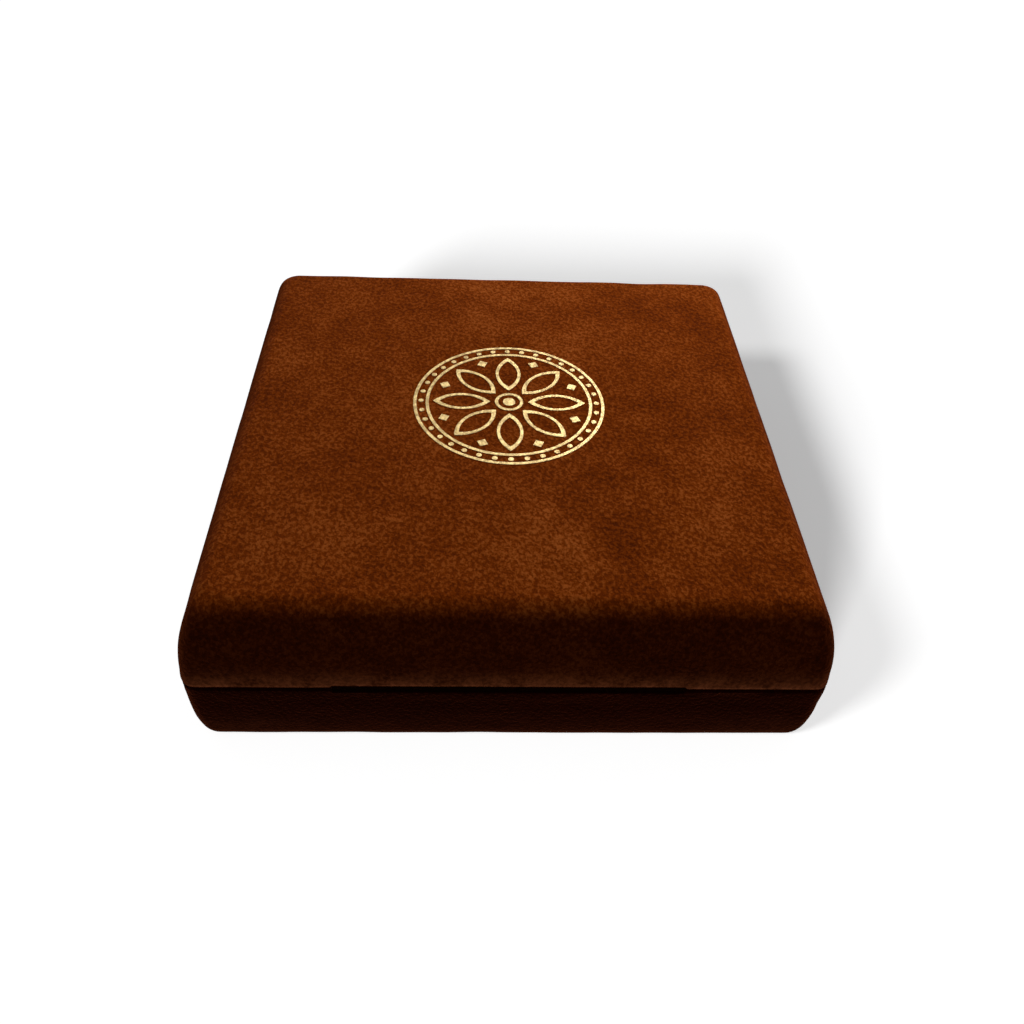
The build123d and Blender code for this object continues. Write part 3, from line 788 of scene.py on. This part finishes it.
@dataclass(frozen=True)
class SatinPad:
    """The padded satin lining: a crowned cushion, gathered where it is glued under its board.

    Sizes are in millimetres. The cushion is made enlarged, because the cloth simulation
    is steadier at that size, and is brought back at the end.
    """

    name: str = "satin_pad"
    half_x: float = 40.07
    half_y: float = 39.53
    centre_y: float = -0.53
    top: float = 24.2
    height: float = 4.6
    corner: float = 1.3
    bulge: float = 1.05
    rear_bulge: float = 0.1
    bulge_share: float = 0.8
    enlarge: float = 10.0
    voxel: float = 0.95
    glued_depth: float = 0.35
    last_frame: int = 20
    pressure: float = 0.5
    slack: float = 0.045
    most_move: float = 0.75
    gathers: int = 84
    gather_waves: int = 6
    gather_depth: float = 0.20
    gather_reach: tuple[float, float] = (0.66, 1.0)
    gather_start: tuple[float, float] = (0.08, 0.3)
    gather_lean: float = -0.7
    seed: int = 11

    def cushion(self) -> Surface:
        """Makes the smooth cushion, enlarged for the simulation.

        At turn t the outline is shrunk by cos(t)^(1/2) and lies height * sin(t)^(1/2) below
        the board. Down to bulge_share of the height it swells outwards by
        bulge * sin(pi * drop / bulge_share), less at the rear, where the hinge and
        springs are.
        """
        turns = np.concatenate([np.linspace(0, 1.2, 34), np.linspace(1.2, 1.5695, 34)[1:]])
        turns = turns[:, None]
        share_x, share_y, angle = Outline(side_columns=70).columns()
        spread, drop = np.sqrt(np.clip(np.cos(turns), 0, 1)), np.sqrt(np.sin(turns))
        rear = smooth_step(np.sin(angle), 0.0, 1.0) * smooth_step(share_y, 0.9, 1.0)
        most = self.bulge + (self.rear_bulge - self.bulge) * rear
        swell = most * np.sin(math.pi * np.minimum(drop / self.bulge_share, 1.0))
        radius = self.corner * spread + swell
        x = (self.half_x - self.corner) * share_x * spread + radius * np.cos(angle)
        y = (self.half_y - self.corner) * share_y * spread + radius * np.sin(angle)
        z = self.top - self.height * drop + 0 * x
        flat = np.linspace(0.05, 0.97, 10)[:, None]
        x = np.concatenate([x[:1] * flat, x])
        y = np.concatenate([y[:1] * flat, y]) + self.centre_y
        z = np.concatenate([z[:1] + 0 * flat, z])
        points = np.stack([x, y, z], axis=-1) * self.enlarge
        ends = np.array([(0, self.centre_y, self.top), (0, self.centre_y, self.top - self.height)])
        return Surface(self.name, points, *(ends * self.enlarge))

    def remesh(self, piece: bpy.types.Object) -> None:
        """Gives the cushion an even net of faces for the cloth."""
        bpy.context.view_layer.objects.active = piece
        piece.select_set(True)
        remesh = piece.modifiers.new("even", "REMESH")
        remesh.mode = "VOXEL"
        remesh.voxel_size = self.voxel * self.enlarge * MM
        remesh.use_smooth_shade = True
        bpy.ops.object.modifier_apply(modifier=remesh.name)

    def cloth(self, piece: bpy.types.Object, glued: str) -> bpy.types.Modifier:
        """Adds the cloth simulation, with the points of one group held still."""
        cloth = piece.modifiers.new("cloth", "CLOTH")
        settings = {
            "vertex_group_mass": glued, "quality": 6, "mass": 0.25, "tension_stiffness": 12.0,
            "compression_stiffness": 6.0, "shear_stiffness": 4.0, "bending_stiffness": 0.25,
            "shrink_min": -self.slack, "use_pressure": True,
            "uniform_pressure_force": self.pressure,
        }
        for key, value in settings.items():
            setattr(cloth.settings, key, value)
        cloth.settings.effector_weights.gravity = 0.0
        cloth.collision_settings.use_collision = False
        cloth.collision_settings.use_self_collision = False
        cloth.point_cache.frame_end = self.last_frame
        return cloth

    def swell_up(self, piece: bpy.types.Object) -> None:
        """Blows the cushion up as cloth, glued under the board and a little too large for it.

        A move of length L is kept to cap * tanh(L / cap), so the folds stay inside the
        room the lid leaves.
        """
        self.remesh(piece)
        mesh = piece.data
        before = read_points(mesh)
        board = self.top * self.enlarge * MM
        glued = np.flatnonzero(before[:, 2] > board - self.glued_depth * self.enlarge * MM)
        group = piece.vertex_groups.new(name="glued")
        group.add(glued.tolist(), 1.0, "REPLACE")
        cloth = self.cloth(piece, group.name)
        scene = bpy.context.scene
        for frame_number in range(1, self.last_frame + 1):
            scene.frame_set(frame_number)
        posed = piece.evaluated_get(bpy.context.evaluated_depsgraph_get())
        move = read_points(posed.to_mesh()) - before
        posed.to_mesh_clear()
        length = np.linalg.norm(move, axis=1, keepdims=True)
        cap = self.most_move * self.enlarge * MM
        most = float(length.max()) / self.enlarge / MM
        log.info("satin moved %.2f mm at most before its cap", most)
        move *= cap * np.tanh(length / cap) / np.maximum(length, 1e-9)
        piece.modifiers.remove(cloth)
        scene.frame_set(1)
        write_points(mesh, before + move)

    def gather(self, mesh: bpy.types.Mesh) -> None:
        """Adds the fine gathers: sines round the edge that fade towards the crown."""
        points = read_points(mesh)
        x, y = points[:, 0], points[:, 1] - self.centre_y * self.enlarge * MM
        reach = np.maximum(np.abs(x) / self.half_x, np.abs(y) / self.half_y) / self.enlarge / MM
        around = np.arctan2(y, x)
        draw = np.random.default_rng(self.seed)
        fold = np.zeros_like(around)
        for _ in range(self.gather_waves):
            number = int(self.gathers * draw.uniform(0.6, 1.5))
            wave = np.sin(number * around + draw.uniform(0, 2 * math.pi))
            fold += wave / math.sqrt(self.gather_waves)
        depth = (self.top * self.enlarge * MM - points[:, 2]) / (self.height * self.enlarge * MM)
        near = smooth_step(reach, *self.gather_reach) * smooth_step(depth, *self.gather_start)
        outwards = np.stack([x, y, 0 * x], axis=-1)
        outwards /= np.maximum(np.linalg.norm(outwards, axis=1, keepdims=True), 1e-9)
        outwards[:, 2] = self.gather_lean
        shift = (self.gather_depth * self.enlarge * MM * fold * near)[:, None] * outwards
        write_points(mesh, points + shift)

    def build(self, wardrobe: Wardrobe) -> bpy.types.Object:
        """Makes the pad, swells it up, gathers its edge and brings it back to size."""
        piece = self.cushion().piece
        self.swell_up(piece)
        self.gather(piece.data)
        piece.vertex_groups.clear()
        write_points(piece.data, read_points(piece.data) / self.enlarge)
        faces = piece.data.polygons
        faces.foreach_set("use_smooth", np.ones(len(faces), dtype=bool))
        smooth = piece.modifiers.new("smooth", "SUBSURF")
        smooth.levels = smooth.render_levels = 1
        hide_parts("lining_satin", "lining_foam")
        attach(piece, "lid")
        wardrobe.dress(piece, Finish.IVORY_SATIN)
        return piece


@dataclass(frozen=True)
class SoftenedCopy:
    """A frame node's own shape with its sharp edges rounded, as glued cloth has them.

    Faces that meet at less than flat_angle degrees are merged, and edges turned by more
    than sharp_angle degrees are rounded.
    """

    node: str
    body: str
    finish: Finish
    radius: float = 0.28
    # How much painted shade darkens the whole copy through its velvet finish
    wall: float = 0.35
    flat_angle: float = 1.0
    sharp_angle: float = 40.0

    def build(self, wardrobe: Wardrobe) -> bpy.types.Object:
        """Merges a copy of the node, rounds its edges and puts it in the node's place."""
        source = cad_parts[self.node]
        mesh = source.data.copy()
        mesh.name = f"soft_{self.node}"
        work = bmesh.new()
        work.from_mesh(mesh)
        bmesh.ops.remove_doubles(work, verts=work.verts, dist=1e-6)
        bmesh.ops.dissolve_limit(work, angle_limit=math.radians(self.flat_angle),
                                 verts=work.verts, edges=work.edges)
        sharp = [edge for edge in work.edges
                 if len(edge.link_faces) == 2
                 and edge.calc_face_angle(0.0) > math.radians(self.sharp_angle)]
        bmesh.ops.bevel(work, geom=sharp, offset=self.radius * MM, segments=3, profile=0.5,
                        affect="EDGES", clamp_overlap=True)
        bmesh.ops.triangulate(work, faces=[face for face in work.faces if len(face.verts) > 4])
        for face in work.faces:
            face.smooth = True
        work.to_mesh(mesh)
        work.free()
        # Painted shade: the whole copy is darkened by this share through its velvet finish
        layer = mesh.attributes.new("wall", "FLOAT", "POINT")
        layer.data.foreach_set("value", np.full(len(mesh.vertices), self.wall, dtype=np.float32))
        piece = add_object(mesh.name, mesh)
        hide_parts(self.node)
        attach(piece, self.body)
        wardrobe.dress(piece, self.finish)
        return piece


@dataclass(frozen=True)
class FrameNodes:
    """The nodes whose own shape is right: they only get their finish."""

    finishes: dict[Finish, tuple[str, ...]] = field(default_factory=lambda: {
        Finish.PRESSED_STEEL: ("base_shell", "lid_shell"),
        Finish.DYED_CARD: ("collar_card", "platform_board", "well_floor_board"),
        Finish.COLLAR_CARD: ("lining_board",),
        Finish.INSERT_PLASTIC: ("platform_core",),
        Finish.SHADED_WELL_VELVET: ("well_floor_velvet",),
        Finish.HINGE_BRASS: ("hinge_leaf_base", "hinge_leaf_lid", "hinge_pin",
                             "base_leaf_rivets", "lid_leaf_rivets"),
        Finish.SPRING_STEEL: ("base_spring_pins", "lid_spring_pins", "snap_spring_left",
                              "snap_spring_right"),
        Finish.GOLD_FOIL: ("foil_emblem",),
    })

    def dress(self, wardrobe: Wardrobe) -> None:
        """Gives every kept node its finish."""
        for finish, nodes in self.finishes.items():
            for node in nodes:
                wardrobe.dress(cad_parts[node], finish)
                log.info("dressed %s", node)


# Studio

@dataclass(frozen=True)
class Photograph:
    """The camera of the photograph.

    Its angles are in radians, and its distances from the case's middle in millimetres.
    """

    focal_pixels: float = 944.3
    frame_pixels: float = 1024.0
    pitch: float = 0.7641
    yaw: float = 0.0633
    roll: float = 0.0566
    distance: float = 162.34
    across: float = 1.375
    upwards: float = -7.035

    def build(self) -> None:
        """Makes the camera and puts it behind the view's axes."""
        forward = Vector((math.sin(self.yaw) * math.cos(self.pitch),
                          math.cos(self.yaw) * math.cos(self.pitch), -math.sin(self.pitch)))
        level = Vector((math.cos(self.yaw), -math.sin(self.yaw), 0.0))
        upright = level.cross(forward)
        right = math.cos(self.roll) * level + math.sin(self.roll) * upright
        up = -math.sin(self.roll) * level + math.cos(self.roll) * upright
        middle = Vector((0, 0, CASE_HEIGHT / 2))
        place = middle - forward * self.distance + right * self.across + up * self.upwards
        data = bpy.data.cameras.new("photograph")
        data.sensor_width = 36.0
        data.lens = self.focal_pixels / self.frame_pixels * data.sensor_width
        data.clip_start = 0.005
        camera = add_object("photograph", data)
        turn = Matrix((right, up, -forward)).transposed()
        camera.matrix_world = Matrix.Translation(place * MM) @ turn.to_4x4()
        bpy.context.scene.camera = camera


@dataclass(frozen=True)
class Lamp:
    """A soft square lamp that looks at the case from a place given in metres."""

    name: str
    place: tuple[float, float, float]
    size: float
    power: float
    colour: Colour = (1.0, 1.0, 1.0)

    def build(self) -> bpy.types.Object:
        """Makes the lamp."""
        data = bpy.data.lights.new(self.name, "AREA")
        data.size = self.size
        data.energy = self.power
        data.color = self.colour
        return hang(data, self.place)


@dataclass(frozen=True)
class ShadowLamp:
    """A distant lamp that throws a soft shadow of the case on the floor.

    All its values but the strength are angles in degrees: heading turns the shadow from
    the right towards the back, height is the lamp's above the floor, and softness is
    its width in the sky.
    """

    name: str
    heading: float
    height: float
    strength: float
    softness: float = 12.0

    def build(self) -> bpy.types.Object:
        """Makes the lamp."""
        data = bpy.data.lights.new(self.name, "SUN")
        data.angle = math.radians(self.softness)
        data.energy = self.strength
        heading, height = math.radians(self.heading), math.radians(self.height)
        return hang(data, (-math.cos(heading) * math.cos(height),
                           -math.sin(heading) * math.cos(height), math.sin(height)))


def hang(data: bpy.types.Light, place: Sequence[float]) -> bpy.types.Object:
    """Puts a light in the scene, turned towards the case."""
    lamp = add_object(data.name, data)
    lamp.location = place
    lamp.rotation_mode = "QUATERNION"
    lamp.rotation_quaternion = (-Vector(place)).to_track_quat("-Z", "Y")
    lamp.visible_camera = False
    return lamp


def light_group(name: str, floor: bpy.types.Object, state: str) -> bpy.types.Collection:
    """A light linking group on the floor: INCLUDE lights it alone, EXCLUDE all else."""
    group = bpy.data.collections.new(name)
    group.objects.link(floor)
    group.collection_objects[0].light_linking.link_state = state
    return group


@dataclass(frozen=True)
class Studio:
    """A pale floor, an even world and the lamps.

    The floor has two lamps of its own, so the shadow lies behind and to the right of the
    case as in the photograph, while the case is lit from above.
    """

    floor_size: float = 6.0
    floor_seen: Colour = (0.80, 0.80, 0.80)
    floor_bounce: Colour = (0.15, 0.15, 0.15)
    floor_glow: float = 0.36
    world_strength: float = 0.15
    lamps: tuple[Lamp, ...] = (
        Lamp("key", (0.04, 0.20, 0.54), 0.40, 0.55, (1.0, 0.99, 0.97)),
        Lamp("back", (0.10, 0.14, 0.14), 0.10, 0.46, (0.98, 1.0, 1.06)),
        Lamp("left", (-0.55, 0.12, 0.22), 0.35, 0.75),
        Lamp("right", (0.55, 0.12, 0.22), 0.35, 0.75),
        Lamp("front", (0.05, -0.50, 0.42), 0.40, 1.05, (1.0, 0.93, 0.85)),
    )
    shadows: tuple[ShadowLamp, ...] = (
        ShadowLamp("high_shadow", 31.0, 41.0, 1.44),
        ShadowLamp("low_shadow", 64.0, 21.0, 3.50),
    )

    def floor_material(self) -> bpy.types.Material:
        """White to the camera and reflections, with its shadow kept, and darker as a light."""
        shader = Shader("floor")
        seen = shader.seen()
        tone = shader.mix(seen, self.floor_bounce, self.floor_seen)
        glow = shader.mix(seen, (0.0, 0.0, 0.0), (self.floor_glow,) * 3)
        return shader.finish(Base_Color=tone, Roughness=0.9, Specular_IOR_Level=0.0,
                             Emission_Color=glow, Emission_Strength=1.0)

    def world(self) -> None:
        """White to the camera and reflections, softer as a light."""
        sky = bpy.data.worlds.new("studio")
        sky.use_nodes = True
        shader = Shader("studio", sky)
        seen = shader.seen()
        backdrop = shader.node("ShaderNodeBackground", {
            "Strength": seen * (1.0 - self.world_strength) + self.world_strength,
            "Color": (1.0, 1.0, 1.0)})
        shader.node("ShaderNodeOutputWorld", {"Surface": backdrop[0]})
        bpy.context.scene.world = sky

    def build(self) -> None:
        """Makes the floor, the world and the lamps."""
        mesh = bpy.data.meshes.new("floor")
        half = self.floor_size / 2
        square = [(-half, -half, 0), (half, -half, 0), (half, half, 0), (-half, half, 0)]
        mesh.from_pydata(square, [], [(0, 1, 2, 3)])
        floor = add_object("floor", mesh)
        mesh.materials.append(self.floor_material())
        self.world()
        case_only = light_group("case_only", floor, "EXCLUDE")
        for lamp in self.lamps:
            lamp.build().light_linking.receiver_collection = case_only
        floor_only = light_group("floor_only", floor, "INCLUDE")
        for shadow in self.shadows:
            shadow.build().light_linking.receiver_collection = floor_only


def main() -> None:
    """Builds the case's looks and the studio round it."""
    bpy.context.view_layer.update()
    bpy.context.scene.view_settings.view_transform = "Standard"
    Photograph().build()
    Studio().build()
    wardrobe = Wardrobe()
    FrameNodes().dress(wardrobe)
    lid_rim = SEAM_HEIGHT + SEAM_GAP / 2
    base_rim = SEAM_HEIGHT - SEAM_GAP / 2
    assemblies = (
        # Lid: painted shade on the walls and a lighter rim of rubbed pile and painted highlight.
        # Base: full painted shade on the walls and a faint lighter knee.
        VelvetHalf("lid_velvet", "lid_velvet_cover", "lid", lid_rim, CASE_HEIGHT - lid_rim, 1,
                   knee=5.2, power=2.0, turn_in=7.0, dish=0.10, wall_shade=0.76, rim_rub_and_highlight=1.0,
                   seed=3),
        VelvetHalf("base_velvet", "base_velvet_cover", "base", base_rim, base_rim, -1,
                   knee=2.4, power=3.0, turn_in=3.0, knee_rub_and_highlight=0.10, seed=5),
        SatinPad(),
        # The wall share is painted shade: none on the platform, most in the coin well's sleeve
        SoftenedCopy("platform_velvet", "base", Finish.INNER_VELVET, wall=0.0),
        SoftenedCopy("well_sleeve", "base", Finish.INNER_VELVET, radius=0.10, wall=0.8),
        SoftenedCopy("collar_velvet", "base", Finish.INNER_VELVET, radius=0.15),
    )
    for assembly in assemblies:
        piece = assembly.build(wardrobe)
        log.info("built %s with %d faces", piece.name, len(piece.data.polygons))


if __name__ == "__main__":
    main()
